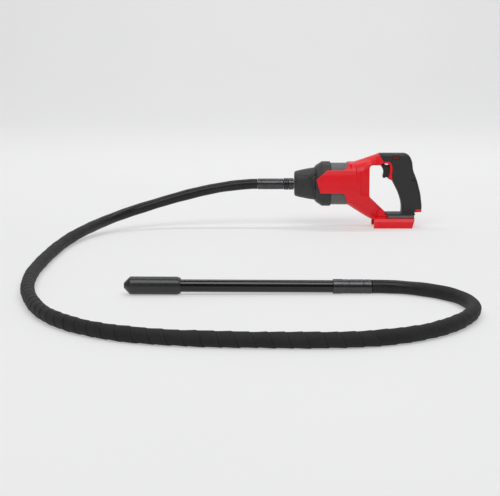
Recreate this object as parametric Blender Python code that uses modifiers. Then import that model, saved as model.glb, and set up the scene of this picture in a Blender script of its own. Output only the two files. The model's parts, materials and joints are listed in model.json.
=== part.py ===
"""Cordless concrete vibrator: a D-handle power unit, a flexible shaft hose and a pencil head.

The power unit stands on its battery foot at the origin, with its nose towards -X and the
operator's handle towards +X.  The hose leaves the nose, comes down to the floor in a long
loop and ends in the vibrating head, which lies on the floor.  Everything is in metres.
"""
import math

import bmesh
import bpy
from mathutils import Matrix, Vector
from mathutils.geometry import tessellate_polygon

GAP = 0.0003
MERGE = 0.00001
WALL = 0.0028
GRIP_SKIN = 0.0028

# Motor and drive line: it runs along -X, at this height above the floor.
AXIS_Z = 0.1035
SHAFT_R = 0.0040
STATOR_R = 0.0300
ROTOR_R = 0.0150
STATOR_TEETH = 6
FAN_R = 0.0290
FAN_BLADES = 11
SPINDLE_R = 0.0065
SPIGOT_R = 0.0109
COLLAR_R = 0.0142
POCKET_R = 0.0154

# Barrel: half heights and half widths of the rounded-square sections.
SQUARENESS = 2.7
BARREL_Z = 0.1045
RING_HALF_HEIGHT = 0.0535
RING_HALF_WIDTH = 0.0440
SLEEVE_HALF_HEIGHT = 0.0500
SLEEVE_HALF_WIDTH = 0.0425
RING_FRONT_X = -0.0970
RING_REAR_X = -0.0600
HOUSING_FRONT_X = -0.0180
SKIN = 0.0035
PANEL_FACE = (0.0566, 0.0475)
PANEL_STEP = (0.0556, 0.0464)
PANEL_BACK = (0.0539, 0.0444)
PANEL_BORDER = 0.0011

# D frame, grip and battery foot.
FRAME_HALF_WIDTH = 0.0170
FRAME_EDGE = 0.0060
OPENING_FLARE = 0.0022
FOOT_HALF_WIDTH = 0.0380
FOOT_TOP_Z = 0.0233
TRIM_HALF_WIDTH = 0.0300
TRIGGER_HALF_WIDTH = 0.0095
TRIGGER_TRAVEL = 0.0060
LOCK_BUTTON_AT = (0.0960, 0.1674)
LOCK_BUTTON_HALF = (0.0079, 0.0043)
GRIP_SCREW_AT = (0.1385, 0.1154)
HOUSING_SCREWS = {
    "screw_barrel_top": (0.0080, 0.1500, 0.0240, 0.0200),
    "screw_barrel_bottom": (0.0080, 0.0560, 0.0295, 0.0240),
    "screw_bridge": (0.0600, 0.1660, 0.0130, 0.0080),
    "screw_handle_top": (0.1215, 0.1640, 0.0128, 0.0080),
    "screw_handle_bottom": (0.1370, 0.0500, 0.0128, 0.0080),
}
GRIP_SCREW_REACH = 0.0128
SCREW_SEAT = 0.0080
SCREW_HEAD_R = 0.0036
SCREW_SHANK_R = 0.0015
SCREW_BORE_R = 0.0019
BOSS_R = 0.0050

# Hose and head.
HOSE_D = 0.0250
HOSE_WALL = 0.0050
CORE_D = 0.0080
CORE_BORE_R = 0.0050
ROUTE_STEP = 0.0450
TOOL_FERRULE_FRONT = 0.1727
TOOL_FERRULE_END = 0.2350
HEAD_LENGTH = 0.4430
HEAD_TUBE_R = 0.0113
HEAD_BORE_R = 0.0090
HEAD_TIP_R = 0.0161
TIP_START = 0.3416
HEAD_START = (-0.0354, -0.7769, 0.0128)
HEAD_HEADING = math.radians(1.4)
HEAD_RISE = math.radians(0.557)
HOSE_ROUTE = [
    (-0.255, 0.000, 0.1030), (-0.302, -0.001, 0.0985), (-0.350, -0.003, 0.0905), (-0.398, -0.008, 0.0800),
    (-0.446, -0.017, 0.0680), (-0.493, -0.032, 0.0555), (-0.540, -0.057, 0.0433), (-0.584, -0.098, 0.0315),
    (-0.620, -0.160, 0.0222), (-0.645, -0.240, 0.0165), (-0.659, -0.330, 0.0136), (-0.6655, -0.430, 0.0128),
    (-0.668, -0.545, 0.0127), (-0.665, -0.668, 0.0127), (-0.650, -0.790, 0.0127), (-0.624, -0.893, 0.0127),
    (-0.586, -0.988, 0.0127), (-0.532, -1.062, 0.0127), (-0.466, -1.113, 0.0127), (-0.388, -1.143, 0.0127),
    (-0.298, -1.157, 0.0127), (-0.205, -1.162, 0.0127), (-0.120, -1.161, 0.0127), (-0.060, -1.149, 0.0127),
    (0.000, -1.121, 0.0127), (0.050, -1.078, 0.0127), (0.091, -1.021, 0.0127), (0.114, -0.960, 0.0127),
    (0.116, -0.904, 0.0127), (0.099, -0.851, 0.0127), (0.064, -0.810, 0.0127), (0.020, -0.785, 0.0127),
    (-0.0190, -0.7765, 0.0127),
]

RED = ("moulded_red", (0.62, 0.012, 0.020), 0.42, 0.0)
DARK_RED = ("button_red", (0.20, 0.030, 0.025), 0.48, 0.0)
GRIP_BLACK = ("grip_rubber", (0.022, 0.022, 0.024), 0.78, 0.0)
TIP_BLACK = ("tip_black", (0.045, 0.045, 0.048), 0.60, 0.0)
BOOT_BLACK = ("boot_rubber", (0.030, 0.031, 0.033), 0.70, 0.0)
HOSE_BLACK = ("hose_wrap", (0.020, 0.020, 0.021), 0.72, 0.0)
GREY = ("grey_plastic", (0.20, 0.205, 0.20), 0.55, 0.0)
BLACK_PLASTIC = ("black_plastic", (0.018, 0.018, 0.020), 0.45, 0.0)
STEEL = ("steel", (0.50, 0.50, 0.51), 0.35, 1.0)
DARK_STEEL = ("dark_steel", (0.11, 0.11, 0.12), 0.38, 1.0)
TUBE_STEEL = ("polished_tube", (0.030, 0.030, 0.034), 0.18, 0.9)
ALUMINIUM = ("cast_aluminium", (0.60, 0.60, 0.61), 0.50, 1.0)
COPPER = ("copper", (0.72, 0.38, 0.22), 0.35, 1.0)
BRASS = ("brass", (0.72, 0.55, 0.25), 0.35, 1.0)
BOARD_GREEN = ("circuit_board", (0.02, 0.16, 0.07), 0.50, 0.0)


# ---------------------------------------------------------------- scene helpers

def clear_scene():
    for old in list(bpy.data.objects):
        bpy.data.objects.remove(old, do_unlink=True)


def new_collection(name):
    collection = bpy.data.collections.new(name)
    bpy.context.scene.collection.children.link(collection)
    return collection


def get_material(look):
    name, colour, roughness, metallic = look
    found = bpy.data.materials.get(name)
    if found:
        return found
    made = bpy.data.materials.new(name)
    made.use_nodes = True
    shader = made.node_tree.nodes["Principled BSDF"]
    shader.inputs["Base Color"].default_value = (*colour, 1.0)
    shader.inputs["Roughness"].default_value = roughness
    shader.inputs["Metallic"].default_value = metallic
    return made


def place(obj, look=None, parent=None):
    """Put an object in the vibrator's collection, or in the cutters' one when it has no look."""
    if look:
        obj.data.materials.append(get_material(look))
        parts_collection.objects.link(obj)
    else:
        cutters_collection.objects.link(obj)
        obj.hide_render = True
        obj.display_type = "WIRE"
    if parent:
        obj.parent = parent
    bpy.context.view_layer.update()
    return obj


def mesh_object(name, bm, look=None, parent=None):
    bmesh.ops.recalc_face_normals(bm, faces=bm.faces)
    mesh = bpy.data.meshes.new(name)
    bm.to_mesh(mesh)
    bm.free()
    return place(bpy.data.objects.new(name, mesh), look, parent)


def shade_round(obj, angle=35.0):
    obj.data.shade_smooth()
    obj.data.set_sharp_from_angle(angle=math.radians(angle))


def bake(obj):
    """Replace the object's mesh by what its modifiers make of it."""
    graph = bpy.context.evaluated_depsgraph_get()
    mesh = bpy.data.meshes.new_from_object(obj.evaluated_get(graph))
    mesh.name = obj.name
    obj.modifiers.clear()
    obj.data = mesh


def combine(target, tool, operation):
    """Boolean of two objects, kept in the target."""
    modifier = target.modifiers.new(operation.title(), "BOOLEAN")
    modifier.object = tool
    modifier.operation = operation
    modifier.solver = "EXACT"
    bake(target)


def subtract(target, tool):
    combine(target, tool, "DIFFERENCE")


def unite(target, tool):
    combine(target, tool, "UNION")


def keep_inside(target, tool):
    combine(target, tool, "INTERSECT")


def copy_as(source, name, look=None):
    twin = source.copy()
    twin.data = source.data.copy()
    twin.name = name
    twin.hide_render = False
    twin.display_type = "TEXTURED"
    twin.data.materials.clear()
    return place(twin, look)


def absorb(target, tool):
    """Unite a helper solid with the target and remove the helper."""
    unite(target, tool)
    bpy.data.objects.remove(tool, do_unlink=True)


# ---------------------------------------------------------------- shape helpers

def box(name, low, high, look=None, parent=None):
    bm = bmesh.new()
    bmesh.ops.create_cube(bm, size=1.0)
    size = [top - bottom for bottom, top in zip(low, high)]
    centre = [0.5 * (top + bottom) for bottom, top in zip(low, high)]
    bmesh.ops.transform(bm, matrix=Matrix.Translation(centre) @ Matrix.Diagonal((*size, 1.0)), verts=bm.verts)
    return mesh_object(name, bm, look, parent)


def bevelled_box(name, low, high, edge, look=None, parent=None):
    """A box with rounded edges; its Bevel stays on as a modifier."""
    obj = box(name, low, high, look, parent)
    bevel = obj.modifiers.new("Rounded edges", "BEVEL")
    bevel.width = edge
    bevel.segments = 2
    return obj


def cross_cylinder(name, x, z, radius, y_low, y_high, sides=12, look=None):
    """A cylinder lying along Y."""
    bm = bmesh.new()
    bmesh.ops.create_cone(
        bm, cap_ends=True, segments=sides, radius1=radius, radius2=radius, depth=y_high - y_low,
    )
    turn = Matrix.Rotation(math.radians(90.0), 4, "X")
    bmesh.ops.transform(bm, matrix=Matrix.Translation((x, 0.5 * (y_low + y_high), z)) @ turn, verts=bm.verts)
    return mesh_object(name, bm, look)


def turned(name, profile, look=None, parent=None, steps=16):
    """Spin a profile of (radius, station) pairs round the parent's Z; a closed one makes a ring.

    A profile that starts and ends on the axis makes a solid piece.
    """
    on_axis = profile[0][0] < MERGE and profile[-1][0] < MERGE
    count = len(profile)
    edges = [(i, i + 1) for i in range(count - 1)]
    if not on_axis:
        edges.append((count - 1, 0))
    mesh = bpy.data.meshes.new(name)
    mesh.from_pydata([(radius, 0.0, station) for radius, station in profile], edges, [])
    obj = place(bpy.data.objects.new(name, mesh), look, parent)
    screw = obj.modifiers.new("Turn", "SCREW")
    screw.steps = steps
    screw.render_steps = steps
    screw.use_merge_vertices = True
    screw.merge_threshold = MERGE
    screw.use_normal_calculate = True
    screw.use_smooth_shade = True
    bake(obj)
    repair_normals(obj)
    shade_round(obj)
    return obj


def repair_normals(obj):
    bm = bmesh.new()
    bm.from_mesh(obj.data)
    bmesh.ops.remove_doubles(bm, verts=bm.verts, dist=MERGE)
    bmesh.ops.recalc_face_normals(bm, faces=bm.faces)
    bm.to_mesh(obj.data)
    bm.free()


def tidy_mesh(obj, distance=0.00002):
    """Close the slivers that the Booleans leave."""
    bm = bmesh.new()
    bm.from_mesh(obj.data)
    bmesh.ops.remove_doubles(bm, verts=bm.verts, dist=distance)
    bmesh.ops.dissolve_degenerate(bm, edges=bm.edges, dist=distance)
    bm.to_mesh(obj.data)
    bm.free()


def mirror_across(obj):
    """Mirror the mesh to the tool's other side."""
    bm = bmesh.new()
    bm.from_mesh(obj.data)
    bmesh.ops.scale(bm, vec=(1.0, -1.0, 1.0), verts=bm.verts)
    bmesh.ops.reverse_faces(bm, faces=bm.faces)
    bm.to_mesh(obj.data)
    bm.free()


def ring(name, bore, radius, start, end, look, parent, steps=16):
    """A plain ring between two stations of a drive line."""
    return turned(name, [(radius, end), (radius, start), (bore, start), (bore, end)], look, parent, steps)


def rounded_outline(corners, arc_step=math.radians(24.0)):
    """Closed outline in the XZ plane from (x, z, radius) corners, each rounded by an arc."""
    points = []
    count = len(corners)
    for i, (x, z, radius) in enumerate(corners):
        corner = Vector((x, z))
        if radius <= 0.0:
            points.append(corner)
            continue
        back = (Vector(corners[i - 1][:2]) - corner).normalized()
        ahead = (Vector(corners[(i + 1) % count][:2]) - corner).normalized()
        half = 0.5 * back.angle(ahead)
        centre = corner + (back + ahead).normalized() * radius / math.sin(half)
        first = corner + back * radius / math.tan(half) - centre
        last = corner + ahead * radius / math.tan(half) - centre
        sweep = first.angle_signed(last)
        steps = max(1, round(abs(sweep) / arc_step))
        for k in range(steps + 1):
            angle = -sweep * k / steps
            turn = Matrix.Rotation(angle, 2)
            points.append(centre + turn @ first)
    return points


def signed_area(points):
    return 0.5 * sum(a.x * b.y - b.x * a.y for a, b in zip(points, points[1:] + points[:1]))


def shrink(points, distance):
    """Move every side of a closed outline inwards by a distance (outwards if it is negative)."""
    side = 1.0 if signed_area(points) > 0.0 else -1.0
    moved = []
    count = len(points)
    for i, point in enumerate(points):
        before = (point - points[i - 1]).normalized()
        after = (points[(i + 1) % count] - point).normalized()
        normal = Vector((-before.y, before.x)) * side
        mitre = (normal + Vector((-after.y, after.x)) * side).normalized()
        moved.append(point + mitre * distance / max(mitre.dot(normal), 0.5))
    return moved


def edge_profile(half_width, edge, steps=2):
    """(y, inset) pairs from one flat side to the other, with a quarter circle along both edges."""
    near = []
    for k in range(steps + 1):
        angle = 0.5 * math.pi * k / steps
        near.append((-half_width + edge * (1.0 - math.cos(angle)), edge * (1.0 - math.sin(angle))))
    return near + [(-y, inset) for y, inset in reversed(near)]


def layered_slab(name, outline, layers, look=None):
    """Solid with a side outline in XZ, given as (y, inset) layers from one side to the other."""
    bm = bmesh.new()
    rings = []
    for y, inset in layers:
        rings.append([bm.verts.new((p.x, y, p.y)) for p in shrink(outline, inset)])
    for lower, upper in zip(rings, rings[1:]):
        for i in range(len(lower)):
            bm.faces.new((lower[i - 1], lower[i], upper[i], upper[i - 1]))
    for end in (rings[0], rings[-1]):
        flat = [Vector((v.co.x, v.co.z, 0.0)) for v in end]
        for a, b, c in tessellate_polygon([flat]):
            bm.faces.new((end[a], end[b], end[c]))
    return mesh_object(name, bm, look)


def slab(name, outline, half_width, edge=0.0, look=None):
    """Flat solid centred on Y, its outer edges rounded."""
    layers = edge_profile(half_width, edge) if edge > 0.0 else [(-half_width, 0.0), (half_width, 0.0)]
    return layered_slab(name, outline, layers, look)


def barrel_ring(x, top, bottom, half_width, count=28):
    """One rounded-square section of the barrel, across X."""
    centre = 0.5 * (top + bottom)
    half_height = 0.5 * (top - bottom)
    power = 2.0 / SQUARENESS
    ring_points = []
    for k in range(count):
        angle = 2.0 * math.pi * (k + 0.5) / count
        across = math.copysign(abs(math.cos(angle)) ** power, math.cos(angle))
        up = math.copysign(abs(math.sin(angle)) ** power, math.sin(angle))
        ring_points.append((x, half_width * across, centre + half_height * up))
    return ring_points


def loft(name, sections, look=None):
    """Skin over rings of points that have the same count, closed at both ends."""
    bm = bmesh.new()
    rings = [[bm.verts.new(point) for point in section] for section in sections]
    for lower, upper in zip(rings, rings[1:]):
        for i in range(len(lower)):
            bm.faces.new((lower[i - 1], lower[i], upper[i], upper[i - 1]))
    bm.faces.new(rings[0])
    bm.faces.new(rings[-1])
    bmesh.ops.triangulate(bm, faces=bm.faces)
    return mesh_object(name, bm, look)


def barrel_loft(name, stations, inset=0.0, look=None):
    """Loft over (x, half height, half width) stations centred on the barrel."""
    sections = []
    for x, half_height, half_width in stations:
        top = BARREL_Z + half_height - inset
        sections.append(barrel_ring(x, top, BARREL_Z - half_height + inset, half_width - inset))
    return loft(name, sections, look)


# ---------------------------------------------------------------- outlines of the power unit

def opening_outline():
    """Finger opening of the D handle, with the trigger's pocket in its upper rear corner."""
    return rounded_outline([
        (0.0340, 0.1496, 0.0080), (0.0600, 0.1496, 0.0), (0.0650, 0.1538, 0.0060),
        (0.0805, 0.1538, 0.0070), (0.0832, 0.1400, 0.0300), (0.0785, 0.1172, 0.0),
        (0.0890, 0.1130, 0.0070), (0.1060, 0.0800, 0.0600), (0.1130, 0.0560, 0.0400),
        (0.1130, 0.0338, 0.0030), (0.0760, 0.0338, 0.0080), (0.0345, 0.0730, 0.0100),
    ])


def frame_outline():
    """Side view of the bridge, the handle and the bar above the battery foot."""
    return rounded_outline([
        (0.0100, 0.0700, 0.0), (0.0100, 0.1400, 0.0), (0.0300, 0.1650, 0.0100), (0.0560, 0.1782, 0.0120),
        (0.1270, 0.1782, 0.0160), (0.1360, 0.1590, 0.0200), (0.1385, 0.1380, 0.0300),
        (0.1490, 0.1120, 0.0600), (0.1572, 0.0820, 0.0600), (0.1612, 0.0540, 0.0500),
        (0.1613, 0.0362, 0.0), (0.1448, 0.0350, 0.0), (0.1430, 0.0214, 0.0), (0.0500, 0.0214, 0.0),
        (0.0300, 0.0450, 0.0),
    ])


def grip_region():
    """Side view of the area that the black overmould covers."""
    return rounded_outline([
        (0.0545, 0.1900, 0.0), (0.0545, 0.1790, 0.0), (0.0672, 0.1578, 0.0020), (0.0820, 0.1590, 0.0060),
        (0.0880, 0.1490, 0.0060), (0.0885, 0.1380, 0.0200), (0.0868, 0.1280, 0.0100), (0.0893, 0.1130, 0.0),
        (0.0850, 0.1000, 0.0), (0.0850, 0.0450, 0.0), (0.0720, 0.0375, 0.0), (0.0720, 0.0306, 0.0),
        (0.1450, 0.0306, 0.0), (0.1450, 0.0435, 0.0), (0.1750, 0.0435, 0.0), (0.1750, 0.1900, 0.0),
    ])


def panel_outline():
    """Chevron side panel that reaches forward over the sleeve and the ring."""
    return rounded_outline([
        (-0.0960, 0.1185, 0.0015), (-0.0700, 0.1404, 0.0030), (-0.0290, 0.1404, 0.0030),
        (-0.0170, 0.1560, 0.0010), (0.0000, 0.1560, 0.0), (0.0000, 0.0600, 0.0),
        (-0.0200, 0.0600, 0.0010), (-0.0296, 0.0850, 0.0030), (-0.0858, 0.0855, 0.0020),
    ])


def body_solid(name, inset=0.0, open_front=False, flare=0.0):
    """The power unit's red body as one solid, with every outer face moved in by the inset."""
    front = HOUSING_FRONT_X - (0.02 if open_front else 0.0)
    stations = [
        (front, 0.1535, 0.0535, 0.0462), (-0.0170, 0.1535, 0.0535, 0.0462), (0.0000, 0.1585, 0.0425, 0.0455),
        (0.0180, 0.1645, 0.0310, 0.0415), (0.0360, 0.1710, 0.0205, 0.0350), (0.0500, 0.1758, 0.0125, 0.0265),
        (0.0620, 0.1775, 0.0100, 0.0180),
    ]
    sections = []
    for x, top, bottom, half_width in stations:
        sections.append(barrel_ring(x, top - inset, bottom + inset, half_width - inset))
    body = loft(name, sections)
    edge = FRAME_EDGE if inset == 0.0 else 0.0
    absorb(body, slab("frame_part", shrink(frame_outline(), inset), FRAME_HALF_WIDTH - inset, edge))
    opening = opening_cutter(inset, flare)
    subtract(body, opening)
    bpy.data.objects.remove(opening, do_unlink=True)
    return body


def opening_cutter(inset, flare):
    """Cutter of the finger opening, which can be flared near the frame's two faces."""
    beside = FRAME_HALF_WIDTH + 0.0002
    half = [(0.0800, -inset - flare), (beside, -inset - flare)]
    if flare > 0.0:
        half += [(beside - 0.0014, -inset - 0.3 * flare), (beside - 0.0034, -inset)]
    layers = [(-y, grown) for y, grown in half] + list(reversed(half))
    return layered_slab("opening_cut", opening_outline(), layers)


def side_panels():
    """Two curved panels over the sleeve and the ring, each with a low step along its border."""
    panels = slab("side_panels", panel_outline(), 0.06)
    step = barrel_loft("panel_step", [(-0.1200, *PANEL_STEP), (0.0100, *PANEL_STEP)])
    keep_inside(panels, step)
    raised = slab("raised_panels", shrink(panel_outline(), PANEL_BORDER), 0.06)
    face = barrel_loft("panel_face", [(-0.1190, *PANEL_FACE), (0.0090, *PANEL_FACE)])
    keep_inside(raised, face)
    absorb(panels, raised)
    inside = barrel_loft("panel_inside", [(-0.1300, *PANEL_BACK), (HOUSING_FRONT_X, *PANEL_BACK)])
    subtract(panels, inside)
    for tool in (step, face, inside):
        bpy.data.objects.remove(tool, do_unlink=True)
    return panels


def foot_solid():
    """Battery foot: a wide block with sloping shoulders and a slanted back."""
    foot = slab("foot", rounded_outline([
        (0.0442, 0.0, 0.0), (0.1360, 0.0, 0.0), (0.1425, FOOT_TOP_Z, 0.0), (0.0455, FOOT_TOP_Z, 0.0),
    ]), FOOT_HALF_WIDTH)
    shoulder = 0.0050
    for side in (-1.0, 1.0):
        wedge = loft("shoulder_cut", [
            [(x, side * (FOOT_HALF_WIDTH + 0.001), FOOT_TOP_Z - 0.0100),
             (x, side * (FOOT_HALF_WIDTH + 0.001), 0.04),
             (x, side * (FOOT_HALF_WIDTH - shoulder), 0.04),
             (x, side * (FOOT_HALF_WIDTH - shoulder), FOOT_TOP_Z)]
            for x in (0.03, 0.16)
        ])
        subtract(foot, wedge)
        bpy.data.objects.remove(wedge, do_unlink=True)
    return foot


# ---------------------------------------------------------------- housing and grips

def build_shells():
    """Two red clamshell halves and two black grip halves, cut from the same body."""
    body = body_solid("outer_body", flare=OPENING_FLARE)
    absorb(body, foot_solid())
    absorb(body, side_panels())
    rear_recess(body)

    region = slab("grip_region", grip_region(), 0.06)
    core = body_solid("grip_core", GRIP_SKIN)
    flange = slab("grip_flange", rounded_outline([
        (0.0782, 0.0306, 0.0), (0.1444, 0.0306, 0.0), (0.1444, 0.0333, 0.0), (0.0775, 0.0333, 0.0),
    ]), 0.0260)
    grip = copy_as(body, "grip_skin", None)
    keep_inside(grip, region)
    absorb(grip, flange)
    subtract(grip, core)

    red = copy_as(body, "red_shell", None)
    recess = copy_as(region, "recess_for_grip", None)
    small_core = body_solid("red_core", GRIP_SKIN + GAP)
    subtract(recess, small_core)
    subtract(red, recess)
    cavity = body_solid("cavity", WALL, open_front=True, flare=OPENING_FLARE)
    step_zone = slab("step_zone", shrink(grip_region(), -0.9 * WALL), 0.06)
    subtract(cavity, step_zone)
    deep = body_solid("grip_cavity", GRIP_SKIN + GAP + 0.0024)
    deep_zone = slab("deep_zone", shrink(grip_region(), -1.5 * WALL), 0.06)
    keep_inside(deep, deep_zone)
    subtract(red, deep)
    subtract(red, cavity)
    for x, z, reach, _ in screw_places():
        absorb(red, cross_cylinder("boss", x, z, BOSS_R, -reach, reach))
    half_space = box("half_space", (-0.2, 0.5 * GAP, -0.05), (0.3, 0.10, 0.25))
    for source, node, look in ((red, "housing_", RED), (grip, "grip_", GRIP_BLACK)):
        keep_inside(source, half_space)
        for side_name in ("left", "right"):
            half = copy_as(source, node + side_name, look)
            if side_name == "left":
                mirror_across(half)
            cut_features(half, side_name)
            tidy_mesh(half)
            shade_round(half)


def rear_recess(body):
    """Shallow recess on each flank, just ahead of the finger opening."""
    for side in (-1.0, 1.0):
        outer = side * 0.0600
        front_floor = side * 0.0412
        rear_floor = side * 0.0318
        cutter = loft("flank_recess", [
            [(0.0140, outer, z), (0.0150, front_floor, z), (0.0400, rear_floor, z), (0.0400, outer, z)]
            for z in (0.0820, 0.1360)
        ])
        subtract(body, cutter)
        bpy.data.objects.remove(cutter, do_unlink=True)


def screw_places():
    """(x, z, boss reach, head seat) of every housing screw; the grip screw's seat is on the left."""
    return [*HOUSING_SCREWS.values(), (*GRIP_SCREW_AT, GRIP_SCREW_REACH, -SCREW_SEAT)]


def cut_features(half, side_name):
    """Trigger slot, lock button slot, battery slot and screw bores."""
    button_x, button_z = LOCK_BUTTON_AT
    half_long, half_tall = LOCK_BUTTON_HALF
    tools = [
        box("trigger_slot", (0.0700, -0.0103, 0.1195), (0.1080, 0.0103, 0.1500)),
        bevelled_box("button_slot", (button_x - half_long - 0.0004, -0.0300, button_z - half_tall - 0.0004),
                     (button_x + half_long + 0.0004, 0.0300, button_z + half_tall + 0.0004), 0.0012),
        box("battery_channel", (0.0300, -0.0285, 0.0060), (0.1280, 0.0285, 0.0200)),
        box("battery_mouth", (0.0300, -0.0240, -0.0100), (0.1280, 0.0240, 0.0070)),
        box("wire_passage", (0.1150, -0.0060, 0.0190), (0.1280, 0.0060, 0.0420)),
    ]
    outside = 0.06
    far_end = -0.0095
    for x, z, _, seat in screw_places():
        side = math.copysign(1.0, seat)
        span = sorted((side * far_end, side * outside))
        tools.append(cross_cylinder("screw_bore", x, z, SCREW_BORE_R, *span))
        head_on_this_half = (side > 0.0) == (side_name == "right")
        if head_on_this_half:
            head_span = sorted((seat, side * outside))
            tools.append(cross_cylinder("screw_head_bore", x, z, SCREW_HEAD_R + 0.0005, *head_span, sides=16))
    for tool in tools:
        subtract(half, tool)
        bpy.data.objects.remove(tool, do_unlink=True)


def build_screws():
    """Housing screws enter from the right, the grip screw from the left."""
    places = [(name, *values) for name, values in HOUSING_SCREWS.items()]
    places.append(("screw_grip", *GRIP_SCREW_AT, GRIP_SCREW_REACH, -SCREW_SEAT))
    for name, x, z, _, seat in places:
        depth = abs(seat) + GAP
        screw = turned(name, [
            (0.0, depth + 0.0010), (0.0013, depth + 0.0010), (0.0013, depth + 0.0026),
            (SCREW_HEAD_R, depth + 0.0022), (SCREW_HEAD_R, depth), (SCREW_SHANK_R, depth),
            (SCREW_SHANK_R, -0.0080), (0.0, -0.0090),
        ], DARK_STEEL, steps=12)
        screw.location = (x, 0.0, z)
        screw.rotation_euler = (math.copysign(math.radians(90.0), -seat), 0.0, 0.0)


# ---------------------------------------------------------------- handle and foot fittings

def build_handle_fittings():
    slab("trigger", rounded_outline([
        (0.0608, 0.1494, 0.0), (0.0668, 0.1405, 0.0060), (0.0688, 0.1320, 0.0100), (0.0664, 0.1240, 0.0040),
        (0.0670, 0.1187, 0.0), (0.0715, 0.1187, 0.0), (0.0724, 0.1201, 0.0), (0.0880, 0.1201, 0.0),
        (0.0896, 0.1350, 0.0200), (0.0880, 0.1490, 0.0), (0.0732, 0.1494, 0.0), (0.0695, 0.1531, 0.0),
        (0.0655, 0.1531, 0.0),
    ]), TRIGGER_HALF_WIDTH, 0.0020, look=BLACK_PLASTIC)
    button_x, button_z = LOCK_BUTTON_AT
    half_long, half_tall = LOCK_BUTTON_HALF
    bevelled_box("lock_button", (button_x - half_long, -0.0158, button_z - half_tall),
                 (button_x + half_long, 0.0205, button_z + half_tall), 0.0010, DARK_RED)
    bevelled_box("trigger_switch", (0.1000, -0.0090, 0.1205), (0.1270, 0.0090, 0.1485), 0.0008, BLACK_PLASTIC)


def build_foot_fittings():
    for name, side in (("left", -1.0), ("right", 1.0)):
        inner = side * (FRAME_HALF_WIDTH + GAP)
        outer = side * TRIM_HALF_WIDTH
        low_y, high_y = sorted((inner, outer))
        bevelled_box(
            "base_trim_" + name, (0.0785, low_y, FOOT_TOP_Z + GAP), (0.1415, high_y, 0.0303), 0.0008, GREY,
        )
    bevelled_box("terminal_block", (0.0780, -0.0140, 0.0085), (0.1120, 0.0140, 0.0197), 0.0008, BLACK_PLASTIC)
    for name, y in (("positive", -0.0100), ("negative", 0.0100)):
        box("terminal_" + name, (0.0620, y - 0.0005, 0.0100), (0.0777, y + 0.0005, 0.0180), BRASS)


def build_control_board():
    board = bevelled_box(
        "control_board", (-0.0190, -0.0165, -0.0028), (0.0190, 0.0165, 0.0028), 0.0006, BOARD_GREEN,
    )
    board.location = (0.0370, 0.0, 0.0480)
    board.rotation_euler = (0.0, math.radians(38.0), 0.0)


# ---------------------------------------------------------------- barrel skins

def hollow_loft(name, stations, bore_stations, look):
    """Barrel skin: an outer loft less an inner one."""
    skin = barrel_loft(name, stations, 0.0, look)
    bore = barrel_loft("bore_of_" + name, bore_stations, SKIN)
    subtract(skin, bore)
    bpy.data.objects.remove(bore, do_unlink=True)
    shade_round(skin)
    return skin


def build_nose_boot():
    rear = RING_FRONT_X - GAP
    boot = hollow_loft("nose_boot", [
        (-0.1463, 0.0265, 0.0262), (-0.1450, 0.0290, 0.0285), (-0.1410, 0.0306, 0.0300),
        (-0.1330, 0.0326, 0.0316), (-0.1150, 0.0362, 0.0346), (rear, 0.0388, 0.0372),
    ], [
        (-0.1390, 0.0308, 0.0304), (-0.1150, 0.0362, 0.0346), (rear - 0.0001, 0.0388, 0.0372),
        (-0.0900, 0.0388, 0.0372),
    ], BOOT_BLACK)
    pocket = turned("collar_pocket", [(0.0, 0.16), (POCKET_R, 0.16), (POCKET_R, 0.13), (0.0, 0.13)],
                    parent=drive_line, steps=24)
    subtract(boot, pocket)
    bpy.data.objects.remove(pocket, do_unlink=True)
    shade_round(boot)


def build_bumper_ring():
    hollow_loft("bumper_ring", [
        (RING_FRONT_X, 0.0415, 0.0405), (-0.0930, 0.0450, 0.0430),
        (-0.0800, RING_HALF_HEIGHT, RING_HALF_WIDTH),
        (RING_REAR_X - GAP, RING_HALF_HEIGHT, RING_HALF_WIDTH),
    ], [
        (-0.0980, 0.0413, 0.0403), (-0.0930, 0.0448, 0.0428), (-0.0800, 0.0532, 0.0438),
        (-0.0500, 0.0532, 0.0438),
    ], BOOT_BLACK)


def build_motor_sleeve():
    """Grey sleeve with cooling slots across its top and its bottom."""
    sleeve = hollow_loft("motor_sleeve", [
        (RING_REAR_X, SLEEVE_HALF_HEIGHT, SLEEVE_HALF_WIDTH),
        (HOUSING_FRONT_X - GAP, SLEEVE_HALF_HEIGHT, SLEEVE_HALF_WIDTH),
    ], [
        (-0.0700, SLEEVE_HALF_HEIGHT, SLEEVE_HALF_WIDTH), (-0.0100, SLEEVE_HALF_HEIGHT, SLEEVE_HALF_WIDTH),
    ], GREY)
    bm = bmesh.new()
    slot_size = (0.0030, 0.0300, 0.0080)
    for k in range(4):
        x = -0.0505 + 0.0075 * k
        for z in (BARREL_Z - SLEEVE_HALF_HEIGHT, BARREL_Z + SLEEVE_HALF_HEIGHT):
            place_slot = Matrix.Translation((x, 0.0, z)) @ Matrix.Diagonal((*slot_size, 1.0))
            bmesh.ops.create_cube(bm, size=1.0, matrix=place_slot)
    slots = mesh_object("cooling_slots", bm)
    subtract(sleeve, slots)
    shade_round(sleeve)


# ---------------------------------------------------------------- motor and nose, along the drive line

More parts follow.
